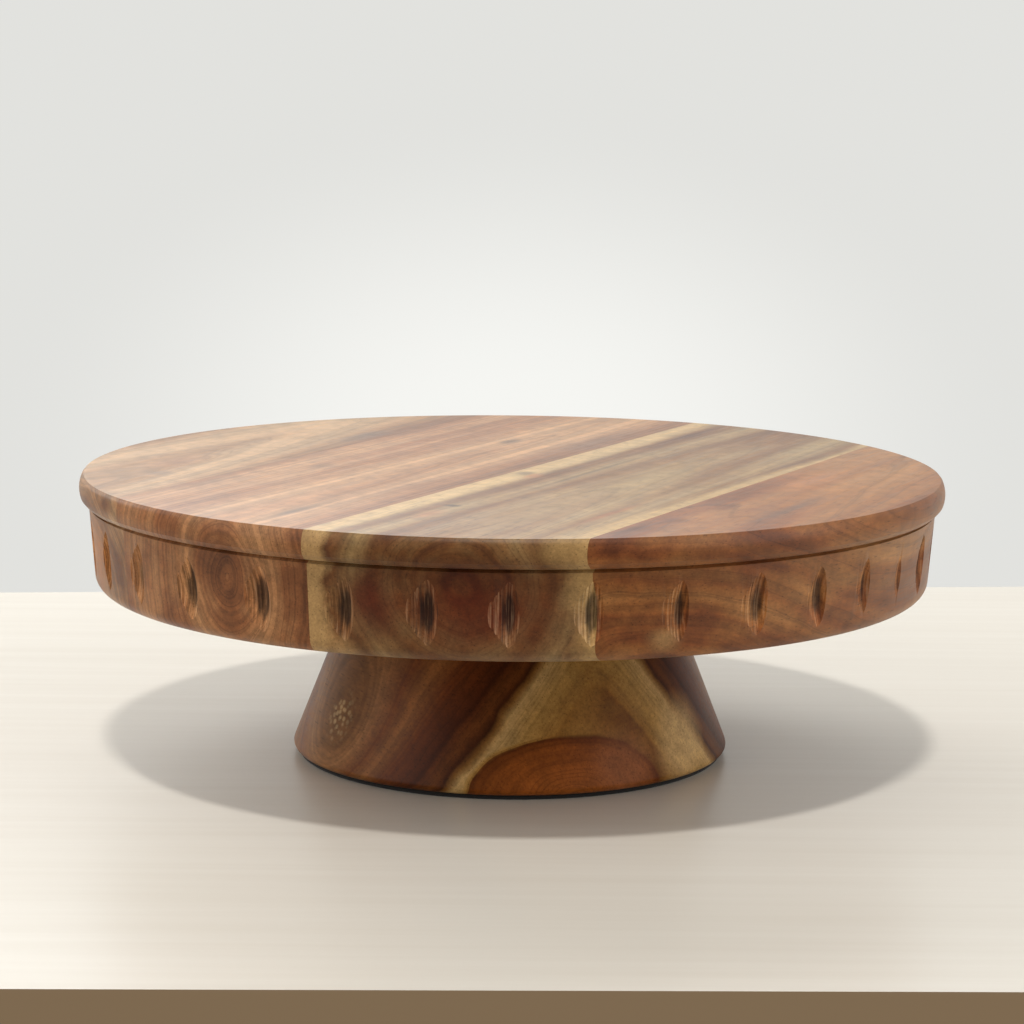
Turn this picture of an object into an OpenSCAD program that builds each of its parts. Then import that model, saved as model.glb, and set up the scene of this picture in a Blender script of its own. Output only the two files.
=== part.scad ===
// Round pedestal cake stand in solid acacia: a thick glued top of four boards
// with a beaded rim and hand-carved flutes, on a turned conical pedestal that
// is screwed on from below and stands on a thin pad.
// Millimetres, +Z up. The origin is on the table, under the stand's centre.

/* [Top] */
// Diameter over the bead, the widest part of the top
top_d = 305; // [240:1:400]
// Thickness of the boards, and so of the whole top
top_h = 40; // [37:0.5:60]
// Height of the bead, the rounded band at the upper edge
bead_h = 9.8; // [6:0.2:12]
// How far the bead swells out between its two edges
bead_swell = 1.1; // [0.4:0.1:3]
// How far the carved skirt stands back from the bead
skirt_inset = 3.3; // [2:0.1:8]
// Radius of the hollow between the bead and the skirt
cove_r = 1; // [0.5:0.1:1.8]
// Lean of the skirt, which narrows towards its lower edge (degrees)
skirt_lean = 4.5; // [0:0.5:7]
// Rounding of the skirt's lower edge
skirt_edge_r = 5; // [3:0.5:8]

/* [Boards] */
// Direction of the boards, clockwise from +Y as seen from above (degrees)
grain_angle = 27; // [0:1:90]
// Distance of the middle glue joint from the centre
middle_joint_offset = 4.5; // [-10:0.5:10]
// Width of the board to the left of the middle joint
left_board_w = 84.5; // [70:0.5:110]
// Width of the board to the right of the middle joint
right_board_w = 84.5; // [70:0.5:110]

/* [Carving] */
// Number of flutes round the skirt
flute_count = 34; // [12:1:36]
// Height of a flute from point to point
flute_len = 21; // [10:0.5:21]
// Width of a flute at its middle
flute_w = 9.5; // [5:0.5:12]
// Depth of a flute at its middle
flute_depth = 2.3; // [1:0.1:3.5]
// Distance of a flute's middle below the bead
flute_drop = 14.6; // [12.5:0.1:15]
// Turn of the first flute from the front (degrees)
flute_start = -0.4; // [-10:0.1:10]
// How much closer the flutes stand on one side, from spacing by eye (degrees)
flute_drift = 5.5; // [0:0.1:8]
// Smaller unevenness of the spacing (degrees)
flute_wobble = 0.8; // [0:0.1:1.5]

/* [Pedestal] */
// Height of the pedestal block
pedestal_h = 60; // [45:1:120]
// Diameter of the pedestal at the table
pedestal_bottom_d = 157; // [120:1:190]
// Diameter of the pedestal under the top
pedestal_top_d = 110; // [90:1:120]
// Rounding of the pedestal's lower edge
pedestal_edge_r = 2; // [1:0.5:5]

/* [Pad] */
// Thickness of the pad under the pedestal
pad_t = 1.6; // [1:0.1:4]
// How far the pad stands back from the pedestal's flat underside
pad_inset = 0; // [0:0.5:5]

/* [Screws] */
// Number of screws
screw_count = 4; // [3:1:6]
// Radius of the circle that the screws stand on
screw_circle_r = 34; // [28:0.5:38]
// Outer diameter of the thread
screw_d = 5; // [4:0.5:6]
// Length of the screw below its head
screw_len = 60; // [50:1:64]
// How far the screw reaches into the top
screw_bite = 25; // [15:0.5:30]
// Length of the pointed tip
screw_tip = 6; // [3:0.5:8]
// Diameter of the washer head
head_d = 10; // [8:0.5:11]
// Height of the washer head
head_h = 3.4; // [2:0.2:5]
// Width of the cross recess in the head
recess_w = 1.2; // [0.8:0.1:1.6]
// Depth of the cross recess
recess_depth = 1.8; // [1:0.1:1.9]
// Diameter of the hole that takes the head and the driver
counterbore_d = 12; // [11.5:0.5:14]
// Clearance of the screw in the pedestal, on the diameter
shank_clearance = 0.5; // [0.3:0.1:1]
// Clearance of the thread in its hole in the top, on the diameter
thread_clearance = 0.1; // [0.05:0.01:0.3]

/* [Hidden] */
$fn = 96;
SLACK = 1; // how far a cutting shape runs past what it cuts

// Heights above the table
pedestal_z = pad_t;
top_z = pedestal_z + pedestal_h;

// The top's profile, in radius and height above the top's underside
bead_round_r = (pow(bead_h / 2, 2) + pow(bead_swell, 2)) / 2 / bead_swell;
skirt_r = top_d / 2 - skirt_inset;
cove_h = top_h - bead_h;
skirt_h = cove_h - cove_r;
skirt_edge_centre_r = skirt_r - (skirt_h - skirt_edge_r) * tan(skirt_lean)
    - skirt_edge_r / cos(skirt_lean);

// The pedestal's profile, in radius and height above its underside
pedestal_taper = (pedestal_bottom_d - pedestal_top_d) / 2 / pedestal_h;
pedestal_side = sqrt(1 + pedestal_taper * pedestal_taper);
pedestal_flat_r = pedestal_bottom_d / 2 - pedestal_edge_r * (pedestal_taper + pedestal_side);

// Glue joints, measured across the boards from the centre
left_joint = middle_joint_offset - left_board_w;
right_joint = middle_joint_offset + right_board_w;

// A flute is cut by a wheel with a V edge, which reaches the skirt's face
// over the flute's length and stands at right angles to that face
flute_h = cove_h - flute_drop;
flute_face_r = skirt_r - (skirt_h - flute_h) * tan(skirt_lean);
wheel_r = (pow(flute_len / 2, 2) + pow(flute_depth, 2)) / 2 / flute_depth;
wheel_half_w = wheel_r * flute_w / 2 / flute_depth;
wheel_stand = wheel_r - flute_depth;
WOBBLE_CYCLES = 6; // waves of uneven spacing in one turn
WOBBLE_PHASE = 124; // where those waves start, in degrees

// Screws: the depth of their seats in the pedestal
counterbore_depth = pedestal_h + screw_bite - screw_len;
seat_z = pedestal_z + counterbore_depth;
screw_turn = 45; // keeps the screws clear of the glue joints

// Turn from the front of flute number i, spaced by eye and so a little unevenly
function flute_turn(i) =
    let (even = i * 360 / flute_count)
    even + flute_start + flute_drift * (cos(even) - 1)
    + flute_wobble * cos(WOBBLE_CYCLES * even + WOBBLE_PHASE);

// Place of flute number i across the boards, from the centre
function flute_across(i) = skirt_r * sin(flute_turn(i) + grain_angle);

// ---------- Shared by the four boards ----------

// Half section of the whole top: skirt, cove and bead
module top_profile() {
    square([skirt_r - cove_r, top_h]);
    translate([0, cove_h])
        intersection() {
            square([top_d / 2, bead_h]);
            union() {
                square([top_d / 2 - bead_round_r, bead_h]);
                translate([top_d / 2 - bead_round_r, bead_h / 2])
                    circle(r = bead_round_r);
            }
        }
    skirt_profile();
}

// Skirt with its leaning face, rounded lower edge and the cove above it
module skirt_profile() {
    difference() {
        union() {
            square([skirt_edge_centre_r, cove_h]);
            translate([skirt_edge_centre_r, skirt_edge_r])
                circle(r = skirt_edge_r);
            polygon([
                [0, skirt_edge_r],
                [skirt_edge_centre_r + skirt_edge_r * cos(skirt_lean),
                    skirt_edge_r - skirt_edge_r * sin(skirt_lean)],
                [skirt_r, skirt_h],
                [skirt_r, cove_h],
                [0, cove_h]
            ]);
        }
        translate([skirt_r, cove_h])
            circle(r = cove_r);
    }
}

// Cutter for one flute at the front: the wheel, kept off the cove and the bead
module flute() {
    intersection() {
        translate([0, -flute_face_r - wheel_stand * cos(skirt_lean),
            flute_h - wheel_stand * sin(skirt_lean)])
            rotate([0, 90, 0])
                rotate_extrude()
                    polygon([[wheel_r, 0], [0, wheel_half_w], [0, -wheel_half_w]]);
        translate([-flute_w, -skirt_r - SLACK, SLACK])
            cube([2 * flute_w, 2 * flute_depth + SLACK, skirt_h - SLACK]);
    }
}

// The flutes that reach into the board between two glue joints
module flutes(from, to) {
    for (i = [0 : flute_count - 1])
        if (flute_across(i) > from - flute_w && flute_across(i) < to + flute_w)
            rotate([0, 0, flute_turn(i)])
                flute();
}

// Screw places, in the frame of the boards
module at_screws() {
    for (i = [0 : screw_count - 1])
        rotate([0, 0, screw_turn - grain_angle + i * 360 / screw_count])
            translate([screw_circle_r, 0, 0])
                children();
}

// One board: the top between two glue joints, given across the boards
module top_board(from, to) {
    difference() {
        intersection() {
            translate([0, 0, top_z])
                rotate_extrude()
                    top_profile();
            rotate([0, 0, -grain_angle])
                translate([from, -top_d, top_z - SLACK])
                    cube([to - from, 2 * top_d, top_h + 2 * SLACK]);
        }
        translate([0, 0, top_z])
            flutes(from, to);
        at_screws()
            translate([0, 0, top_z - SLACK])
                cylinder(d = screw_d + thread_clearance, h = screw_bite + SLACK);
    }
}

// ---------- Sub-parts ----------

module top_board_outer_left() {
    color("#a4703f") top_board(-top_d, left_joint);
}

module top_board_left() {
    color("#8a6038") top_board(left_joint, middle_joint_offset);
}

module top_board_right() {
    color("#96713f") top_board(middle_joint_offset, right_joint);
}

module top_board_outer_right() {
    color("#8c4f2c") top_board(right_joint, top_d);
}

// Turned cone with a rounded lower edge, bored for the screws
module pedestal() {
    color("#7a4522")
        difference() {
            translate([0, 0, pedestal_z])
                rotate_extrude() {
                    polygon([
                        [0, 0],
                        [pedestal_flat_r, 0],
                        [pedestal_flat_r + pedestal_edge_r / pedestal_side,
                            pedestal_edge_r * (1 + pedestal_taper / pedestal_side)],
                        [pedestal_top_d / 2, pedestal_h],
                        [0, pedestal_h]
                    ]);
                    translate([pedestal_flat_r, pedestal_edge_r])
                        circle(r = pedestal_edge_r);
                }
            at_screws() {
                translate([0, 0, pedestal_z - SLACK])
                    cylinder(d = counterbore_d, h = counterbore_depth + SLACK);
                translate([0, 0, pedestal_z])
                    cylinder(d = screw_d + shank_clearance, h = pedestal_h + SLACK);
            }
        }
}

// Washer-head wood screws, driven up from below into the top
module base_screws() {
    color("#b9bcc0")
        at_screws()
            difference() {
                union() {
                    translate([0, 0, seat_z - head_h])
                        cylinder(d = head_d, h = head_h);
                    translate([0, 0, seat_z])
                        cylinder(d = screw_d, h = screw_len - screw_tip);
                    translate([0, 0, seat_z + screw_len - screw_tip])
                        cylinder(d1 = screw_d, d2 = 0, h = screw_tip);
                }
                for (turn = [0, 90])
                    rotate([0, 0, turn])
                        translate([-head_d / 4, -recess_w / 2, seat_z - head_h - SLACK])
                            cube([head_d / 2, recess_w, recess_depth + SLACK]);
            }
}

// Thin black pad glued over the pedestal's underside and the screw holes
module foot_pad() {
    color("#161514")
        cylinder(r = pedestal_flat_r - pad_inset, h = pad_t);
}

top_board_outer_left();
top_board_left();
top_board_right();
top_board_outer_right();
pedestal();
base_screws();
foot_pad();
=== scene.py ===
import math
import random

import bpy
from mathutils import Euler, Matrix, Vector


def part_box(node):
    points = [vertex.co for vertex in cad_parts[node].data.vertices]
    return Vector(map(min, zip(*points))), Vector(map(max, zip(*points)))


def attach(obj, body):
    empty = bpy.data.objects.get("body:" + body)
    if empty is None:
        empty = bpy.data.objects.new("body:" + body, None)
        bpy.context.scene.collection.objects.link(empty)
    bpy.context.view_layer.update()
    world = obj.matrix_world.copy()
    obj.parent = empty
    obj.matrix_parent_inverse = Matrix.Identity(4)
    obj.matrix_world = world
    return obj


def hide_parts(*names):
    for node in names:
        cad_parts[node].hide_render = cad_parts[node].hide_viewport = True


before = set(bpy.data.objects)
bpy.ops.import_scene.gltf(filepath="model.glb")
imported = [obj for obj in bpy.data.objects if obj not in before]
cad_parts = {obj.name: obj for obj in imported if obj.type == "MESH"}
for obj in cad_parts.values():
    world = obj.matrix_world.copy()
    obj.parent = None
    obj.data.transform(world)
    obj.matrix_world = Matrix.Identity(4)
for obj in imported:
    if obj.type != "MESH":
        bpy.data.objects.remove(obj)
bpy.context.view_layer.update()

MM = 0.001

# ---------------------------------------------------------------------------
# The blank of the top: four edge-glued boards, turned together on a lathe to a
# flat disc with a swelling bead, a small cove under it and a leaning skirt.
# ---------------------------------------------------------------------------
top_low, top_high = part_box("top_board_left")
top_bottom = top_low.z / MM
top_height = (top_high.z - top_low.z) / MM
bead_radius = 152.5
bead_height = 9.8
bead_swell = 1.4
cove_radius = 1.25
skirt_radius = 149.2
skirt_lean = math.radians(4.5)
skirt_edge = 5.0
bead_foot = [(-1.3, 0), (-0.55, 0.25), (-0.05, 0.75)]  # its round lower edge, as (out, up)
arris = 0.5  # rounding that sandpaper leaves on the upper edge
arris_round = [(-0.04, -0.8), (-0.3, -0.25), (-1, 0)]  # (out, up) from the corner, in arrises
turning_steps = 512


def arc(centre_radius, centre_height, radius, start, end, steps):
    """Points of a round stretch of a turned outline, angles in degrees up from level."""
    turns = [math.radians(start + (end - start) * i / steps) for i in range(steps + 1)]
    return [(centre_radius + radius * math.cos(a), centre_height + radius * math.sin(a)) for a in turns]


def turn(name, outline, base):
    """A turned solid: a disc drawn out step by step along its outline, which runs
    upwards as (radius, height above the base) in millimetres."""
    bpy.ops.object.select_all(action="DESELECT")
    radius, height = outline[0]
    bpy.ops.mesh.primitive_circle_add(
        vertices=turning_steps, radius=radius * MM, fill_type="NGON", location=(0, 0, (base + height) * MM)
    )
    piece = bpy.context.object
    piece.name = piece.data.name = name
    bpy.ops.object.transform_apply(location=True)
    bpy.ops.object.mode_set(mode="EDIT")
    bpy.ops.mesh.select_all(action="SELECT")
    for next_radius, next_height in outline[1:]:
        rise = (next_height - height) * MM
        spread = next_radius / radius
        bpy.ops.mesh.extrude_region_move(TRANSFORM_OT_translate={"value": (0, 0, rise)})
        bpy.ops.transform.resize(value=(spread, spread, 1), center_override=(0, 0, 0))
        radius, height = next_radius, next_height
    bpy.ops.mesh.select_all(action="SELECT")
    bpy.ops.mesh.remove_doubles(threshold=1e-6)
    bpy.ops.mesh.normals_make_consistent(inside=False)
    bpy.ops.object.mode_set(mode="OBJECT")
    return piece


cove_height = top_height - bead_height
skirt_top = cove_height - cove_radius
edge_centre = (
    skirt_radius - (skirt_top - skirt_edge) * math.tan(skirt_lean) - skirt_edge / math.cos(skirt_lean)
)
bead_round = ((bead_height / 2) ** 2 + bead_swell**2) / 2 / bead_swell
bead_turn = math.degrees(math.asin(bead_height / 2 / bead_round))
bead_face = arc(
    bead_radius - bead_round, cove_height + bead_height / 2, bead_round, -bead_turn, bead_turn, steps=10
)
top_outline = (
    arc(edge_centre, skirt_edge, skirt_edge, -90, -math.degrees(skirt_lean), steps=8)
    + [(skirt_radius, skirt_top)]
    + arc(skirt_radius, cove_height, cove_radius, 270, 180, steps=5)
    + [(bead_face[0][0] + out, cove_height + up) for out, up in bead_foot]
    + bead_face[2:-1]
    + [(bead_face[-1][0] + out * arris, top_height + up * arris) for out, up in arris_round]
)
blank = turn("top_blank", top_outline, top_bottom)
turned_wood = bpy.data.materials.new("turned_face")
blank.data.materials.append(turned_wood)

# ---------------------------------------------------------------------------
# The flutes: leaf-shaped cuts round the skirt, made by eye with a V-edged wheel
# in a few passes, each of which leaves a ridge along the cut.
# ---------------------------------------------------------------------------
flute_count = 34
flute_length = 21.0
flute_width = 9.0
flute_depth = 2.3
flute_drop = 14.6  # from the cove down to the middle of a flute
flute_height = cove_height - flute_drop
wheel_radius = ((flute_length / 2) ** 2 + flute_depth**2) / 2 / flute_depth
wheel_stand = wheel_radius - flute_depth
wheel_reach = 1.25  # half the wheel's width, in halves of the flute's
wheel_swing = math.radians(29)  # each way, which is past both ends of the flute
wheel_steps = 30
pass_hollow = 0.8  # depth of a pass as wide as half the flute
pass_steps = 4
flute_face = skirt_radius - (skirt_top - flute_height) * math.tan(skirt_lean)
wheel_centre = Vector(
    (
        0,
        -(flute_face + wheel_stand * math.cos(skirt_lean)) * MM,
        (top_bottom + flute_height - wheel_stand * math.sin(skirt_lean)) * MM,
    )
)
cut_wood = bpy.data.materials.new("carved_face")


def wheel_cut(passes, deepest):
    """One cutter at the front of the stand. Passes are the places across the flute, from
    -1 to 1, of the ridges between the wheel's passes; deepest is the place of the V."""
    ridges = [-wheel_reach] + passes + [wheel_reach]
    outline = []
    for near, far in zip(ridges, ridges[1:]):
        for k in range(pass_steps):
            place = near + (far - near) * k / pass_steps
            side = (place - deepest) / ((1 if place > deepest else -1) - deepest)
            hollow = pass_hollow * math.sin(math.pi * k / pass_steps) * (far - near)
            outline.append((place * flute_width / 2, wheel_radius - flute_depth * side + hollow))
    edge = wheel_reach * flute_width / 2
    outline.append((edge, wheel_radius - flute_depth * wheel_reach))
    back = wheel_radius - 2 * flute_depth
    outline += [(edge, back), (-edge, back)]
    bpy.ops.object.select_all(action="DESELECT")
    start = wheel_centre + Vector((outline[0][0], outline[0][1], 0)) * MM
    bpy.ops.mesh.primitive_plane_add(size=MM, location=start)
    cutter = bpy.context.object
    bpy.ops.object.transform_apply(location=True)
    bpy.ops.object.mode_set(mode="EDIT")
    bpy.ops.mesh.select_all(action="SELECT")
    bpy.ops.mesh.merge(type="CENTER")
    for here, there in zip(outline, outline[1:]):
        step = ((there[0] - here[0]) * MM, (there[1] - here[1]) * MM, 0)
        bpy.ops.mesh.extrude_region_move(TRANSFORM_OT_translate={"value": step})
    bpy.ops.mesh.select_all(action="SELECT")
    bpy.ops.mesh.edge_face_add()
    # Swung back to one end of the flute, then swept through to the other
    bpy.ops.transform.rotate(value=-wheel_swing, orient_axis="X", center_override=wheel_centre)
    bpy.ops.mesh.spin(steps=wheel_steps, angle=2 * wheel_swing, center=wheel_centre, axis=(1, 0, 0))
    bpy.ops.mesh.select_all(action="SELECT")
    bpy.ops.mesh.remove_doubles(threshold=1e-6)
    bpy.ops.mesh.normals_make_consistent(inside=False)
    bpy.ops.object.mode_set(mode="OBJECT")
    cutter.data.materials.append(cut_wood)
    return cutter


# Degrees that the spacing is out by: at the front, halfway to the back, and in six small waves
flute_start = -0.4
flute_drift = 5.5
flute_wave, flute_waves, wave_start = 0.8, 6, 124


def flute_turn(i):
    """Turn of a flute from the front, in radians: spaced by eye, so a little unevenly."""
    even = 2 * math.pi * i / flute_count
    drift = flute_drift * (math.cos(even) - 1)
    wave = flute_wave * math.cos(flute_waves * even + math.radians(wave_start))
    return even + math.radians(drift + wave + flute_start)


hand = random.Random(11)
shallow_cuts = {5: 0.4, 6: 1.3}  # flutes that the wheel was held off, and how far
patterns = [
    wheel_cut([-0.72, -0.45, -0.2, 0.1, 0.4], 0.4),
    wheel_cut([-0.8, -0.5, -0.25, 0.05, 0.3], 0.3),
    wheel_cut([-0.62, -0.3, 0.0, 0.25, 0.5], 0.5),
]
cutters = []
for i in range(flute_count):
    cutter = patterns[i % len(patterns)].copy()
    cutter.data = cutter.data.copy()
    bpy.context.collection.objects.link(cutter)
    held_off = hand.uniform(-0.25, 0.1) - shallow_cuts.get(i, 0)
    about = Matrix.Translation(wheel_centre + Vector((0, held_off, 0)) * MM)
    size = Matrix.Diagonal((hand.uniform(0.92, 1.08), 1, hand.uniform(0.97, 1.02), 1))
    tilt = Matrix.Rotation(math.radians(hand.uniform(-1.5, 1.5)), 4, "Y")
    place = Matrix.Rotation(flute_turn(i), 4, "Z")
    rise = Matrix.Translation((0, 0, hand.uniform(-0.35, 0.35) * MM))
    cutter.data.transform(place @ rise @ about @ tilt @ size @ Matrix.Translation(-wheel_centre))
    cutters.append(cutter)
for pattern in patterns:
    bpy.data.objects.remove(pattern)
bpy.ops.object.select_all(action="DESELECT")
for cutter in cutters:
    cutter.select_set(True)
bpy.context.view_layer.objects.active = cutters[0]
bpy.ops.object.join()
cutter = cutters[0]

bpy.ops.object.select_all(action="DESELECT")
blank.select_set(True)
bpy.context.view_layer.objects.active = blank
carve = blank.modifiers.new("carve", "BOOLEAN")
carve.operation = "DIFFERENCE"
carve.solver = "EXACT"
carve.material_mode = "TRANSFER"
carve.object = cutter
bpy.ops.object.modifier_apply(modifier="carve")
bpy.data.objects.remove(cutter)
cut_faces = blank.data.attributes.new("carved", "FLOAT", "FACE")
cut_faces.data.foreach_set("value", [float(face.material_index > 0) for face in blank.data.polygons])

# ---------------------------------------------------------------------------
# Bores for the four screws: a pilot hole in the top, and a clearance hole and a
# counterbore in the pedestal. All are drilled from below.
# ---------------------------------------------------------------------------
grain_turn = 27.0  # the top's grain runs from the front to the back, turned this far to the right
screw_circle = 34.0
screw_turn = 45 - grain_turn  # so that each screw stands cornerwise to the grain
pilot_radius, pilot_depth = 2.55, 25.0
shank_radius, counterbore_radius, counterbore_depth = 2.75, 6.0, 25.0
slack = 1.0


def drill(piece, radius, low, high):
    """Four holes in a piece, between two heights in millimetres above the table."""
    holes = []
    for i in range(4):
        angle = math.radians(screw_turn + 90 * i)
        middle = (screw_circle * math.cos(angle), screw_circle * math.sin(angle), (low + high) / 2)
        bpy.ops.object.select_all(action="DESELECT")
        bpy.ops.mesh.primitive_cylinder_add(
            vertices=48,
            radius=radius * MM,
            depth=(high - low) * MM,
            location=Vector(middle) * MM,
        )
        holes.append(bpy.context.object)
    for hole in holes:
        hole.select_set(True)
    bpy.ops.object.join()
    bit = bpy.context.object
    bpy.ops.object.select_all(action="DESELECT")
    piece.select_set(True)
    bpy.context.view_layer.objects.active = piece
    bore = piece.modifiers.new("bore", "BOOLEAN")
    bore.operation = "DIFFERENCE"
    bore.solver = "EXACT"
    bore.object = bit
    bpy.ops.object.modifier_apply(modifier="bore")
    bpy.data.objects.remove(bit)


drill(blank, pilot_radius, top_bottom - slack, top_bottom + pilot_depth)

# ---------------------------------------------------------------------------
# The four boards: the blank parted at its glue joints, which are upright planes
# along the grain. Each board keeps its own figure through its whole thickness.
# ---------------------------------------------------------------------------
left_joint, middle_joint, right_joint = -80.0, 4.5, 89.0
grain_angle = math.radians(grain_turn)
across = Vector((math.cos(grain_angle), -math.sin(grain_angle), 0))


def board(node, joints):
    """One board of the top, cut from a copy of the blank at each of its glue joints.
    Joints are (millimetres across from the centre, side that goes away)."""
    piece = blank.copy()
    piece.data = blank.data.copy()
    piece.name = piece.data.name = node + "_wood"
    bpy.context.collection.objects.link(piece)
    bpy.ops.object.select_all(action="DESELECT")
    piece.select_set(True)
    bpy.context.view_layer.objects.active = piece
    bpy.ops.object.mode_set(mode="EDIT")
    for place, side in joints:
        bpy.ops.mesh.select_all(action="SELECT")
        bpy.ops.mesh.bisect(
            plane_co=across * place * MM,
            plane_no=across * side,
            use_fill=True,
            clear_outer=True,
        )
    bpy.ops.mesh.select_all(action="SELECT")
    bpy.ops.mesh.normals_make_consistent(inside=False)
    bpy.ops.object.mode_set(mode="OBJECT")
    bpy.ops.object.shade_smooth_by_angle(angle=math.radians(24))
    piece.data.materials.clear()
    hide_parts(node)
    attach(piece, "root")
    return piece


def linear(code):
    """A colour written as sRGB hex, in the linear values that shaders take."""
    parts = [int(code[i : i + 2], 16) / 255 for i in (1, 3, 5)]
    return tuple(c / 12.92 if c <= 0.04045 else ((c + 0.055) / 1.055) ** 2.4 for c in parts) + (1,)


def add(tree, kind, inputs=(), out=0, stops=None, **settings):
    """Adds a node with its settings, links or sets its inputs, and returns an output. A
    colour may be written as hex."""
    node = tree.nodes.new("ShaderNode" + kind)
    for name, value in settings.items():
        setattr(node, name, value)
    if stops:
        ramp = node.color_ramp.elements
        while len(ramp) < len(stops):
            ramp.new(0.5)
        for element, (position, colour) in zip(ramp, stops):
            element.position = position
            element.color = linear(colour)
    for key, value in inputs.items() if isinstance(inputs, dict) else enumerate(inputs):
        if isinstance(value, bpy.types.NodeSocket):
            tree.links.new(value, node.inputs[key])
        else:
            node.inputs[key].default_value = linear(value) if isinstance(value, str) else value
    return node.outputs[out] if node.outputs else node


def wood(name, turned):
    """Starts a wood material. Gives its nodes, and the place in millimetres with x across
    the grain, y along it and z up, for grain that is level and turned from the front."""
    material = bpy.data.materials.new(name)
    material.use_nodes = True
    tree = material.node_tree
    tree.nodes.clear()
    place = add(tree, "TexCoord", out=3)
    place = add(tree, "Mapping", {0: place, 2: (0, 0, math.radians(turned)), 3: (1000, 1000, 1000)})
    return material, tree, place


wander_length = 41.67  # from one slow bend of the grain to the next, across it


def grown(tree, place, pith, oval, taper, wander, seed):
    """Distance of the growth layer from the pith, which is (millimetres across, height above
    the table). The layers wander slowly along the grain. Seed moves the pattern elsewhere."""
    grain = add(tree, "VectorMath", [place, (1, 0.12, 1)], operation="MULTIPLY")
    grain = add(tree, "VectorMath", [grain, (37 * seed, 19 * seed, 11 * seed)], operation="ADD")
    bends = {"Vector": grain, "Scale": 1 / wander_length, "Detail": 3, "Roughness": 0.5}
    drift = add(tree, "TexNoise", bends, out=1)
    drift = add(tree, "VectorMath", [drift, (0.5, 0.5, 0.5)], operation="SUBTRACT")
    drift = add(tree, "VectorMath", {0: drift, 3: wander}, operation="SCALE")
    wandered = add(tree, "VectorMath", [place, drift], operation="ADD")
    apart = add(tree, "VectorMath", [wandered, (pith[0], 0, pith[1])], operation="SUBTRACT")
    lean = add(tree, "VectorMath", [wandered, (0, taper, 0)], operation="DOT_PRODUCT", out=1)
    lean = add(tree, "CombineXYZ", [0.0, 0.0, lean])
    apart = add(tree, "VectorMath", [apart, lean], operation="ADD")
    apart = add(tree, "VectorMath", [apart, (1, 0, oval)], operation="MULTIPLY")
    radius = add(tree, "VectorMath", [apart], operation="LENGTH", out=1)
    return radius, grain, wandered


def layered(tree, colour, radius, ring, seed, strength):
    """Shades a colour with growth layers of uneven width, about a ring apart in millimetres,
    some of them closed by a thin dark line."""
    fine = add(tree, "Math", [radius, 1 / ring, 7.3 * seed], operation="MULTIPLY_ADD")
    fine = {"W": fine, "Scale": 1.0, "Detail": 3, "Roughness": 0.6}
    layers = add(tree, "TexNoise", fine, noise_dimensions="1D")
    shade = add(tree, "MapRange", {0: layers, 1: 0.36, 2: 0.62, 3: 1 - strength, 4: 1 + 0.4 * strength})
    colour = add(tree, "VectorMath", {0: colour, 3: shade}, operation="SCALE")
    late = add(tree, "Math", [layers, 0.43], operation="SUBTRACT")
    late = add(tree, "Math", [late], operation="ABSOLUTE")
    late = {0: late, 1: 0.0, 2: 0.035, 3: 1 - 1.1 * strength, 4: 1.0}
    late = add(tree, "MapRange", late, interpolation_type="SMOOTHSTEP")
    return add(tree, "VectorMath", {0: colour, 3: late}, operation="SCALE")


def spot_share(tree, place, centre, reach, strength, inner=0.3):
    """How far a place lies inside a soft oval mark, from 0 to the given strength."""
    gap = add(tree, "VectorMath", [place, centre], operation="SUBTRACT")
    gap = add(tree, "VectorMath", [gap, tuple(1 / r for r in reach)], operation="MULTIPLY")
    gap = add(tree, "VectorMath", [gap], out=1, operation="LENGTH")
    gap = {0: gap, 1: inner, 2: 1.0, 3: strength, 4: 0.0}
    return add(tree, "MapRange", gap, interpolation_type="SMOOTHSTEP")


# Sizes in the wood, in millimetres across the grain. The pores and the fibres are drawn
# several times as coarse as they are, because the true ones are too fine to show.
mottle_width = 6.25
fibre_width = 0.909
pore_spacing = 1.25
torn_width = 1.111
face_oil, end_oil = 0.88, 1.12  # how deep a face and an end take the oil's colour


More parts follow.
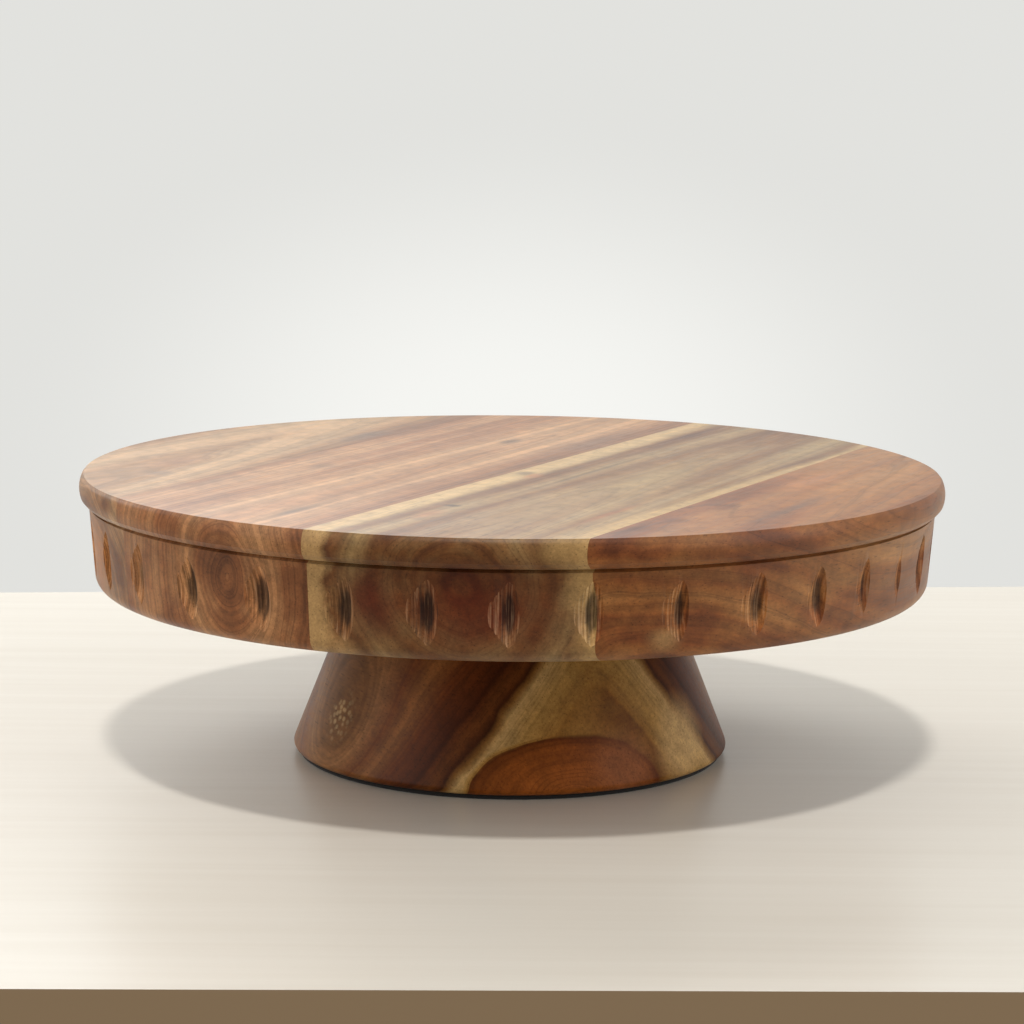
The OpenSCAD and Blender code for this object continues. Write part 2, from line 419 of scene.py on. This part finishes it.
def oiled(tree, place, colour, carved, turned, shine):
    """Fibres, mottle and open pores over the figure, under a thin coat of oil. End grain
    drinks more of the oil, so it comes out darker, stronger and duller."""
    facing = add(tree, "TexCoord", out=1)
    along = (math.sin(math.radians(turned)), math.cos(math.radians(turned)), 0)
    end_grain = add(tree, "VectorMath", [facing, along], operation="DOT_PRODUCT", out=1)
    end_grain = add(tree, "Math", [end_grain], operation="ABSOLUTE")
    oil = add(tree, "MapRange", {0: end_grain, 1: 0.1, 2: 0.95, 3: face_oil, 4: end_oil})
    colour = add(tree, "Gamma", [colour, oil])
    gloss = add(tree, "MapRange", {0: oil, 1: face_oil, 2: end_oil, 3: shine, 4: 0.4 * shine})
    mottle = {"Vector": place, "Scale": 1 / mottle_width, "Detail": 4, "Roughness": 0.65}
    mottle = add(tree, "TexNoise", mottle)
    mottle = add(tree, "MapRange", {0: mottle, 1: 0.3, 2: 0.7, 3: 0.8, 4: 1.18})
    colour = add(tree, "VectorMath", {0: colour, 3: mottle}, operation="SCALE")
    thread = add(tree, "VectorMath", [place, (1, 0.035, 1)], operation="MULTIPLY")
    thread = {"Vector": thread, "Scale": 1 / fibre_width, "Detail": 4, "Roughness": 0.75}
    fibre = add(tree, "TexNoise", thread)
    shade = add(tree, "MapRange", {0: fibre, 1: 0.32, 2: 0.68, 3: 0.78, 4: 1.2})
    colour = add(tree, "VectorMath", {0: colour, 3: shade}, operation="SCALE")
    vessel = add(tree, "VectorMath", [place, (1, 0.1, 1)], operation="MULTIPLY")
    pores = add(tree, "TexVoronoi", {"Vector": vessel, "Scale": 1 / pore_spacing, "Randomness": 1.0})
    pores = {0: pores, 1: 0.08, 2: 0.24, 3: 0.62, 4: 1.0}
    pore = add(tree, "MapRange", pores, interpolation_type="SMOOTHSTEP")
    colour = add(tree, "VectorMath", {0: colour, 3: pore}, operation="SCALE")
    rough = add(tree, "MapRange", {0: fibre, 1: 0.3, 2: 0.7, 3: 0.36, 4: 0.5})
    if carved:
        # The wheel leaves torn pale fibres on the ridges. The deepest wood is darkened, partly by real
        # scorch from the wheel and partly as painted shade in the hollow of the cut
        cut = add(tree, "Attribute", out=2, attribute_name="carved")
        spot = add(tree, "TexCoord", out=3)
        spot = add(tree, "VectorMath", {0: spot, 3: 1000.0}, operation="SCALE")
        flat = add(tree, "VectorMath", [spot, (1, 1, 0)], operation="MULTIPLY")
        from_axis = add(tree, "VectorMath", [flat], out=1, operation="LENGTH")
        split = add(tree, "SeparateXYZ", [spot])
        height = split.node.outputs[2]
        lean = math.tan(skirt_lean)
        face_at_table = skirt_radius - (top_bottom + skirt_top) * lean
        face = add(tree, "Math", [height, lean, face_at_table], operation="MULTIPLY_ADD")
        depth = add(tree, "Math", [face, from_axis], operation="SUBTRACT")
        sweep = add(tree, "Math", [split, split.node.outputs[1]], operation="ARCTAN2")
        sweep = add(tree, "Math", [sweep, skirt_radius], operation="MULTIPLY")
        slow = add(tree, "Math", [height, 0.05], operation="MULTIPLY")
        strokes = add(tree, "CombineXYZ", [sweep, slow, 0.0])
        strokes = {"Vector": strokes, "Scale": 1 / torn_width, "Detail": 4, "Roughness": 0.65}
        torn = add(tree, "TexNoise", strokes)
        stroke_shade = add(tree, "MapRange", {0: torn, 1: 0.36, 2: 0.62, 3: 0.6, 4: 1.6})
        cut_colour = add(tree, "VectorMath", {0: colour, 3: stroke_shade}, operation="SCALE")
        # Darker the deeper the cut: part real scorch, part painted shade of the hollow
        scorch_and_shade = add(tree, "MapRange", {0: depth, 1: 1.1, 2: 1.7, 3: 1.05, 4: 0.32})
        cut_colour = add(tree, "VectorMath", {0: cut_colour, 3: scorch_and_shade}, operation="SCALE")
        torn_pale = add(tree, "MapRange", {0: torn, 1: 0.52, 2: 0.72, 3: 0.0, 4: 0.55})
        pale = {0: torn_pale, 6: cut_colour, 7: "#a58668"}
        cut_colour = add(tree, "Mix", pale, out=2, data_type="RGBA")
        colour = add(tree, "Mix", {0: cut, 6: colour, 7: cut_colour}, out=2, data_type="RGBA")
        rough = add(tree, "Mix", {0: cut, 2: rough, 3: 0.7}, data_type="FLOAT")
    relief = add(tree, "Math", [fibre, pore], operation="ADD")
    bump = add(tree, "Bump", {"Strength": 0.1, "Distance": 0.0002, "Height": relief})
    coat = {"Base Color": colour, "Roughness": rough, "Normal": bump, "Specular IOR Level": gloss}
    shader = add(tree, "BsdfPrincipled", coat)
    add(tree, "OutputMaterial", [shader])


# Millimetres across the grain, again: broad bands of colour, clouds in them, and the waves
# along the edge of the sapwood
band_width, cloud_width, sap_wave = 13.333, 20.0, 16.667


def acacia(name, pith, oval, ring, wander, taper, tones, strength=0.2, saps=(), marks=(), seed=1.0):
    """Oiled acacia, sanded fine, for a board of the top. The figure is grown through the
    wood: layers round a pith along the grain, which show as rings on the ends of the board
    and stripes along its face. Tones are (share, colour), from one layer to the next."""
    material, tree, place = wood(name, grain_turn)
    radius, grain, wandered = grown(tree, place, pith, oval, taper, wander, seed)
    broad = add(tree, "Math", [radius, 1 / band_width, 3.1 * seed], operation="MULTIPLY_ADD")
    broad = {"W": broad, "Scale": 1.0, "Detail": 2, "Roughness": 0.5}
    bands = add(tree, "TexNoise", broad, noise_dimensions="1D")
    cloud = {"Vector": grain, "Scale": 1 / cloud_width, "Detail": 3, "Roughness": 0.6}
    cloud = add(tree, "TexNoise", cloud)
    tone = add(tree, "Math", [bands, cloud], operation="ADD")
    tone = add(tree, "Math", [tone, 0.5], operation="MULTIPLY")
    colour = add(tree, "ValToRGB", [tone], stops=tones)
    colour = layered(tree, colour, radius, ring, seed, strength)
    across_grain = add(tree, "SeparateXYZ", [wandered])

    # Pale sapwood along an edge of the board
    for edge, side, width, ripple, sap_colour in saps:
        jag = {"Vector": grain, "Scale": 1 / sap_wave, "Detail": 4, "Roughness": 0.65}
        jag = add(tree, "TexNoise", jag)
        jag = add(tree, "MapRange", {0: jag, 1: 0.3, 2: 0.7, 3: -ripple, 4: ripple})
        depth = add(tree, "Math", [across_grain, edge], operation="SUBTRACT")
        depth = add(tree, "Math", [depth, side, jag], operation="MULTIPLY_ADD")
        share = add(tree, "MapRange", {0: depth, 1: width - 2, 2: width + 2.5, 3: 0.92, 4: 0.0})
        colour = add(tree, "Mix", {0: share, 6: colour, 7: sap_colour}, out=2, data_type="RGBA")

    # Marks: small knots, flecks and streaks on the faces
    for mark, reach, mark_colour, mark_strength in marks:
        share = spot_share(tree, wandered, mark, reach, mark_strength, inner=0.1)
        colour = add(tree, "Mix", {0: share, 6: colour, 7: mark_colour}, out=2, data_type="RGBA")
    oiled(tree, place, colour, carved=True, turned=grain_turn, shine=0.5)
    return material


# ---------------------------------------------------------------------------
# Outer left board: orange-tan heartwood with a red-brown streak near the front.
# ---------------------------------------------------------------------------
outer_left = board("top_board_outer_left", [(left_joint, 1)])
outer_left.data.materials.append(
    acacia(
        "acacia_outer_left",
        pith=(-118, 40),
        oval=0.8,
        ring=2.6,
        wander=14,
        taper=0.05,
        tones=[(0.36, "#6a4022"), (0.46, "#875f3a"), (0.54, "#98704a"), (0.66, "#a27e58")],
        marks=[
            ((-90, 48, 100), (8, 30, 30), "#4d443c", 0.55),
            ((-110, -50, 100), (9, 26, 30), "#7a4426", 0.4),
            ((-87, -124, 97), (8, 14, 6), "#56290f", 0.75),
            ((-108, -102, 76), (22, 40, 18), "#ad6a2c", 0.65),
            ((-100, -75, 100), (9, 8, 30), "#4a4440", 0.4),
        ],
        seed=3.1,
    )
)

# ---------------------------------------------------------------------------
# Left board: mid-brown heartwood, with the pith in the thickness of the board,
# so that its end shows closed rings and its face long quiet stripes.
# ---------------------------------------------------------------------------
left = board("top_board_left", [(left_joint, -1), (middle_joint, 1)])
left.data.materials.append(
    acacia(
        "acacia_left",
        pith=(-26, 81),
        oval=0.7,
        ring=1.7,
        wander=9,
        taper=0.02,
        tones=[(0.36, "#6a4124"), (0.46, "#875734"), (0.54, "#9a6c46"), (0.66, "#a87c54")],
        strength=0.2,
        marks=[
            ((-6, 80, 100), (9, 60, 20), "#4f453c", 0.4),
            ((-10, -60, 100), (7, 70, 6), "#5c4c3e", 0.3),
            ((-15, -120, 100), (4, 28, 10), "#3c2a20", 0.7),
            ((-33, 63, 100), (5, 12, 10), "#3c2d25", 0.7),
            ((-62, -28, 100), (6, 10, 10), "#4a372b", 0.6),
            ((-25, -87, 100), (5, 5, 6), "#3a281d", 0.7),
            ((-75, -85, 100), (5, 30, 10), "#4a3226", 0.5),
            ((-62, 20, 100), (5, 60, 12), "#8a5230", 0.4),
        ],
        seed=8.4,
    )
)

# ---------------------------------------------------------------------------
# Right board: olive-brown heartwood between two edges of pale sapwood, the wide
# one along the middle joint and the narrow one along the right joint.
# ---------------------------------------------------------------------------
right = board("top_board_right", [(middle_joint, -1), (right_joint, 1)])
right.data.materials.append(
    acacia(
        "acacia_right",
        pith=(53, 81),
        oval=0.9,
        ring=2.6,
        wander=11,
        taper=0.04,
        tones=[(0.37, "#522e16"), (0.45, "#6e4826"), (0.54, "#80603c"), (0.66, "#8e734c")],
        strength=0.12,
        saps=[(middle_joint, 1, 6.5, 3, "#ab8a5c"), (right_joint, -1, 3.5, 2.5, "#a78656")],
        marks=[
            ((56, -120, 78), (38, 90, 24), "#5a2205", 0.85),
            ((10, 0, 101), (8, 300, 4), "#b39464", 0.75),
            ((15, -148, 63), (9, 60, 9), "#a58458", 0.75),
            ((82, -122, 97), (9, 40, 8), "#a07f50", 0.75),
            ((26, -146, 80), (14, 60, 17), "#561f05", 0.85),
            ((9, -10, 100), (7, 8, 10), "#3c2c22", 0.7),
            ((14, -14, 100), (4, 9, 8), "#a35c30", 0.6),
            ((28, 10, 100), (2.2, 100, 8), "#3a281c", 0.6),
            ((22, -88, 100), (5, 4, 8), "#22150e", 0.85),
            ((24, -108, 100), (5, 16, 8), "#8f4f26", 0.6),
            ((75, -75, 100), (3, 38, 8), "#8a4a22", 0.55),
        ],
        seed=1.7,
    )
)

# ---------------------------------------------------------------------------
# Outer right board: red-brown heartwood with long dark streaks.
# ---------------------------------------------------------------------------
outer_right = board("top_board_outer_right", [(right_joint, -1)])
outer_right.data.materials.append(
    acacia(
        "acacia_outer_right",
        pith=(104, 30),
        oval=0.9,
        ring=3.4,
        wander=15,
        taper=0.05,
        tones=[(0.36, "#552a10"), (0.46, "#76421e"), (0.54, "#88552a"), (0.66, "#98683a")],
        strength=0.17,
        marks=[
            ((101, -45, 100), (5, 12, 10), "#4c1f10", 0.6),
            ((98, -78, 100), (8, 10, 10), "#4a2012", 0.5),
            ((94, -98, 100), (4, 16, 10), "#37180c", 0.6),
            ((121, -40, 100), (5, 55, 10), "#463932", 0.55),
            ((102, 25, 100), (8, 36, 10), "#a2653c", 0.5),
            ((106, -104, 68), (8, 8, 6), "#a38255", 0.6),
        ],
        seed=5.2,
    )
)
bpy.data.objects.remove(blank)

# ---------------------------------------------------------------------------
# The pedestal: a cone turned from one block whose grain runs level towards the
# front right, with a knot on the left. It is bored from below for its screws.
# ---------------------------------------------------------------------------
foot_low, foot_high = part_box("pedestal")
foot_bottom = foot_low.z / MM
pedestal_height = (foot_high.z - foot_low.z) / MM
pedestal_bottom = 78.5
pedestal_top = 55.0
pedestal_edge = 2.0
pedestal_taper = (pedestal_bottom - pedestal_top) / pedestal_height
pedestal_side = math.hypot(1, pedestal_taper)
pedestal_flat = pedestal_bottom - pedestal_edge * (pedestal_taper + pedestal_side)
pedestal_lean = math.degrees(math.atan(pedestal_taper))
pedestal_outline = arc(pedestal_flat, pedestal_edge, pedestal_edge, -90, pedestal_lean, steps=6)
pedestal = turn("pedestal_wood", pedestal_outline + [(pedestal_top, pedestal_height)], foot_bottom)
drill(pedestal, shank_radius, foot_bottom - slack, foot_bottom + pedestal_height + slack)
drill(pedestal, counterbore_radius, foot_bottom - slack, foot_bottom + counterbore_depth)
bpy.ops.object.shade_smooth_by_angle(angle=math.radians(30))
core_turn = -22.0  # the grain points level, to the front right
core_seed = 2.2
material, tree, place = wood("acacia_pedestal", core_turn)
radius, grain, wandered = grown(
    tree, place, pith=(-8, foot_bottom), oval=1.75, taper=0.0, wander=6, seed=core_seed
)

# The knot: layers pushed out round the base of a branch
knot_turn = 55.5  # degrees from the front, towards the left
knot_from_axis = 72.0
knot_rise = 18.4
knot_reach = (20, 60, 24)
knot_push = 36.0
round_knot = add(tree, "TexCoord", out=3)
round_knot = {0: round_knot, 2: (0, 0, math.radians(knot_turn)), 3: (1000, 1000, 1000)}
round_knot = add(tree, "Mapping", round_knot)
knot_middle = (0, -knot_from_axis, foot_bottom + knot_rise)
knot_gap = add(tree, "VectorMath", [round_knot, knot_middle], operation="SUBTRACT")
knot_gap = add(tree, "VectorMath", [knot_gap, tuple(1 / r for r in knot_reach)], operation="MULTIPLY")
knot_gap = add(tree, "VectorMath", [knot_gap], out=1, operation="LENGTH")
swell = add(tree, "Math", [knot_gap, knot_gap], operation="MULTIPLY")
swell = add(tree, "Math", [math.exp(-1), swell], operation="POWER")

# The sapwood lies between a round heart and two sides that lean in to a rounded peak
heart_reach = 34.0
heart_blur = 1.0
peak_place = 4.0  # right of the pedestal's axis
peak_round = 30.0  # square millimetres
peak_offset = 3.0
side_lean = 0.8  # how far a side comes in, per millimetre of height
sides = add(tree, "SeparateXYZ", [wandered])
rise = add(tree, "Math", [sides.node.outputs[2], foot_bottom], operation="SUBTRACT")
slant = add(tree, "Math", [sides, peak_place], operation="SUBTRACT")
slant = add(tree, "Math", [slant, slant], operation="MULTIPLY")
slant = add(tree, "Math", [slant, peak_round], operation="ADD")
slant = add(tree, "Math", [slant], operation="SQRT")
slant = add(tree, "Math", [slant, peak_offset], operation="ADD")
slant = add(tree, "Math", [rise, side_lean, slant], operation="MULTIPLY_ADD")
slant = add(tree, "Math", [slant, heart_reach + heart_blur], operation="MAXIMUM")
outside = {0: radius, 1: heart_reach - heart_blur, 2: heart_reach + heart_blur, 3: 0.0, 4: 1.0}
outside = add(tree, "MapRange", outside)
radius = add(tree, "Mix", {0: outside, 2: radius, 3: slant}, data_type="FLOAT")
radius = add(tree, "Math", [swell, knot_push, radius], operation="MULTIPLY_ADD")

# Colours of the layers, from the heart outwards
layer_wave = 14.286  # across the grain
layer_shift = 6.0  # how far a wave moves a layer
layers_reach = 120.0  # that the colours are spread over
cloud = add(tree, "TexNoise", {"Vector": grain, "Scale": 1 / layer_wave, "Detail": 2, "Roughness": 0.5})
edge = add(tree, "Math", [cloud, layer_shift, radius], operation="MULTIPLY_ADD")
share = add(tree, "MapRange", {0: edge, 1: 0.0, 2: layers_reach, 3: 0.0, 4: 1.0})
colour = add(
    tree,
    "ValToRGB",
    [share],
    stops=[
        (0.0, "#9a5c28"),
        (0.17, "#955624"),
        (0.26, "#8a4e1e"),
        (0.30, "#6a3810"),
        (0.325, "#9a7038"),
        (0.40, "#b08a50"),
        (0.47, "#bc9a66"),
        (0.495, "#8a6030"),
        (0.51, "#43200a"),
        (0.54, "#70401a"),
        (0.58, "#4c230a"),
        (0.66, "#6a3612"),
        (0.73, "#86552a"),
        (0.80, "#6e3c18"),
        (0.90, "#8a5c34"),
        (1.0, "#6e4624"),
    ],
)
colour = layered(tree, colour, radius, ring=3.2, seed=core_seed, strength=0.13)
pink = spot_share(tree, wandered, centre=(12, 0, 10), reach=(16, 400, 14), strength=0.5)
colour = add(tree, "Mix", {0: pink, 6: colour, 7: "#a06a48"}, out=2, data_type="RGBA")
wedge = spot_share(tree, wandered, centre=(38, -60, 14), reach=(15, 60, 18), strength=0.7)
colour = add(tree, "Mix", {0: wedge, 6: colour, 7: "#cfae7c"}, out=2, data_type="RGBA")

# Pale specks in the middle of the knot
speck_spacing = 2.381
speck = add(tree, "TexVoronoi", {"Vector": place, "Scale": 1 / speck_spacing, "Randomness": 1.0})
speck = add(tree, "MapRange", {0: speck, 1: 0.25, 2: 0.5, 3: 0.7, 4: 0.0})
near = add(tree, "MapRange", {0: knot_gap, 1: 0.15, 2: 0.42, 3: 1.0, 4: 0.0})
speck = add(tree, "Math", [speck, near], operation="MULTIPLY")
colour = add(tree, "Mix", {0: speck, 6: colour, 7: "#a98a5c"}, out=2, data_type="RGBA")
oiled(tree, place, colour, carved=False, turned=core_turn, shine=0.22)
pedestal.data.materials.append(material)
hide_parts("pedestal")
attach(pedestal, "root")

# ---------------------------------------------------------------------------
# The screws keep their modelled shape: zinc-plated steel, blue-white and satin.
# ---------------------------------------------------------------------------
spangle_width = 1.111  # crystals of the plating
zinc = bpy.data.materials.new("zinc_plated_steel")
zinc.use_nodes = True
tree = zinc.node_tree
tree.nodes.clear()
spot = add(tree, "TexCoord", out=3)
spangle = {"Vector": spot, "Scale": 1 / (spangle_width * MM), "Detail": 2, "Roughness": 0.5}
spangle = add(tree, "TexNoise", spangle)
plating = add(tree, "ValToRGB", [spangle], stops=[(0.35, "#a9adb3"), (0.65, "#c9ccd0")])
satin = add(tree, "MapRange", {0: spangle, 1: 0.3, 2: 0.7, 3: 0.25, 4: 0.4})
shader = add(tree, "BsdfPrincipled", {"Base Color": plating, "Roughness": satin, "Metallic": 1.0})
add(tree, "OutputMaterial", [shader])
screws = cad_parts["base_screws"]
screws.data.materials.clear()
screws.data.materials.append(zinc)

# ---------------------------------------------------------------------------
# The pad: black pressed felt, cut round and glued over the pedestal's underside.
# ---------------------------------------------------------------------------
pad_low, pad_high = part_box("foot_pad")
pad_radius = pad_high.x / MM
pad_thickness = (pad_high.z - pad_low.z) / MM
fibre_clump = 0.4  # drawn coarser than real felt, whose fibres are too fine to show
pad_outline = [
    (pad_radius - 0.5, 0),
    (pad_radius - 0.12, 0.2),
    (pad_radius, 0.6),
    (pad_radius - 0.05, pad_thickness - 0.15),
    (pad_radius - 0.2, pad_thickness),
]
pad = turn("foot_pad_felt", pad_outline, pad_low.z / MM)
bpy.context.view_layer.objects.active = pad
bpy.ops.object.shade_smooth_by_angle(angle=math.radians(60))
felt = bpy.data.materials.new("pressed_felt")
felt.use_nodes = True
tree = felt.node_tree
tree.nodes.clear()
spot = add(tree, "TexCoord", out=3)
fuzz = {"Vector": spot, "Scale": 1 / (fibre_clump * MM), "Detail": 3, "Roughness": 0.7}
fuzz = add(tree, "TexNoise", fuzz)
fuzz_colour = add(tree, "ValToRGB", [fuzz], stops=[(0.3, "#0b0a0a"), (0.7, "#211f1e")])
fuzz_bump = add(tree, "Bump", {"Strength": 0.5, "Distance": 0.0002, "Height": fuzz})
matt = {"Base Color": fuzz_colour, "Roughness": 0.95, "Normal": fuzz_bump}
shader = add(tree, "BsdfPrincipled", {**matt, "Sheen Weight": 0.2, "Sheen Roughness": 0.4})
add(tree, "OutputMaterial", [shader])
pad.data.materials.append(felt)
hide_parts("foot_pad")
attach(pad, "root")

# ---------------------------------------------------------------------------
# The stage: a pale limewashed table in front of a white backdrop.
# ---------------------------------------------------------------------------
table_front, table_back, table_half_width, table_thickness = -0.277, 0.31, 0.9, 0.03
front_skew, back_skew = 0.02, 0.083  # it stands a little askew
stroke_length, stroke_width = 0.2778, 0.008333
bpy.ops.object.select_all(action="DESELECT")
bpy.ops.mesh.primitive_cube_add(size=1, location=(0, (table_front + table_back) / 2, -table_thickness / 2))
table = bpy.context.object
table.name = table.data.name = "table"
table.scale = (2 * table_half_width, table_back - table_front, table_thickness)
bpy.ops.object.transform_apply(location=True, scale=True)
for corner in table.data.vertices:
    corner.co.y += corner.co.x * (back_skew if corner.co.y > 0 else front_skew)
pale = bpy.data.materials.new("pale_table")
pale.use_nodes = True
tree = pale.node_tree
tree.nodes.clear()
spot = add(tree, "TexCoord", out=3)
strokes = add(tree, "Mapping", {0: spot, 3: (1 / stroke_length, 1 / stroke_width, 3)})
strokes = add(tree, "TexNoise", {"Vector": strokes, "Scale": 1, "Detail": 5, "Roughness": 0.6})
cream = add(tree, "ValToRGB", [strokes], stops=[(0.3, "#cac4b9"), (0.7, "#d0cbc1")])
upright = add(tree, "NewGeometry", out=1)
upright = add(tree, "SeparateXYZ", [upright], out=2)
edge_tone = add(tree, "MapRange", {0: upright, 1: 0.3, 2: 0.7, 3: 1.0, 4: 0.0})
cream = add(tree, "Mix", {0: edge_tone, 6: cream, 7: "#8c7558"}, out=2, data_type="RGBA")
shader = add(tree, "BsdfPrincipled", {"Base Color": cream, "Roughness": 0.3, "IOR": 1.5})
add(tree, "OutputMaterial", [shader])
table.data.materials.append(pale)

backdrop_distance, backdrop_middle = 1.3, 0.2
backdrop_width, backdrop_height = 4.0, 2.4
glow_height = -0.06
bpy.ops.object.select_all(action="DESELECT")
bpy.ops.mesh.primitive_plane_add(
    size=1, location=(0, backdrop_distance, backdrop_middle), rotation=(math.radians(90), 0, 0)
)
backdrop = bpy.context.object
backdrop.name = backdrop.data.name = "backdrop"
backdrop.scale = (backdrop_width, backdrop_height, 1)
bpy.ops.object.transform_apply(location=True, rotation=True, scale=True)
white = bpy.data.materials.new("white_backdrop")
white.use_nodes = True
tree = white.node_tree
tree.nodes.clear()
spot = add(tree, "TexCoord", out=3)
from_stand = add(tree, "VectorMath", [spot, (0, backdrop_distance, glow_height)], operation="SUBTRACT")
from_stand = add(tree, "VectorMath", [from_stand, (1, 1, 1.6)], operation="MULTIPLY")
from_stand = add(tree, "VectorMath", [from_stand], out=1, operation="LENGTH")
glow = {0: from_stand, 1: 0.05, 2: 0.42, 3: 0.92, 4: 0.76}
glow = add(tree, "MapRange", glow, interpolation_type="SMOOTHSTEP")
shader = add(tree, "Emission", {0: "#fffffb", 1: glow})
add(tree, "OutputMaterial", [shader])
backdrop.data.materials.append(white)

world = bpy.data.worlds.new("dim_room")
world.use_nodes = True
room = world.node_tree.nodes["Background"]
room.inputs["Color"].default_value = (1.0, 0.96, 0.9, 1)
room.inputs["Strength"].default_value = 0.35
bpy.context.scene.world = world
bpy.context.scene.view_settings.view_transform = "Standard"


def lamp(name, width, height, power, place, aim):
    """A soft lamp that faces a point."""
    data = bpy.data.lights.new(name, "AREA")
    data.shape = "RECTANGLE"
    data.size = width
    data.size_y = height
    data.energy = power
    light = bpy.data.objects.new(name, data)
    light.location = place
    light.rotation_euler = (Vector(aim) - Vector(place)).to_track_quat("-Z", "Y").to_euler()
    bpy.context.collection.objects.link(light)


lamp("behind", width=2.4, height=0.8, power=29.0, place=(-0.3, 1.25, 0.9), aim=(0, 0, 0.1))
for side, name in ((-1, "left_box"), (1, "right_box")):
    lamp(name, width=1.5, height=1.5, power=13.0, place=(1.4 * side, -0.7, 0.8), aim=(0, 0, 0.06))
sun_fall = Vector((0.03, 0.36, -1))
sun = bpy.data.objects.new("overhead", bpy.data.lights.new("overhead", "SUN"))
sun.data.energy = 1.75
sun.data.angle = math.radians(5)
sun.data.color = (1.0, 0.98, 0.95)
sun.rotation_euler = sun_fall.to_track_quat("-Z", "Y").to_euler()
bpy.context.collection.objects.link(sun)

# ---------------------------------------------------------------------------
# The camera: a long lens a metre away, a little above the top and level with it.
# ---------------------------------------------------------------------------
lens_length = 103.6
camera_distance, camera_height = 1.0369, 0.25075
looks_down, rolls = 9.037, 0.544  # degrees
camera_data = bpy.data.cameras.new("camera")
camera_data.sensor_width = 36.0
camera_data.lens = lens_length
camera = bpy.data.objects.new("camera", camera_data)
camera.location = (0, -camera_distance, camera_height)
tilt = Euler((math.radians(90 - looks_down), 0, 0)).to_matrix()
camera.rotation_euler = (tilt @ Matrix.Rotation(math.radians(rolls), 3, "Z")).to_euler()
bpy.context.collection.objects.link(camera)
bpy.context.scene.camera = camera
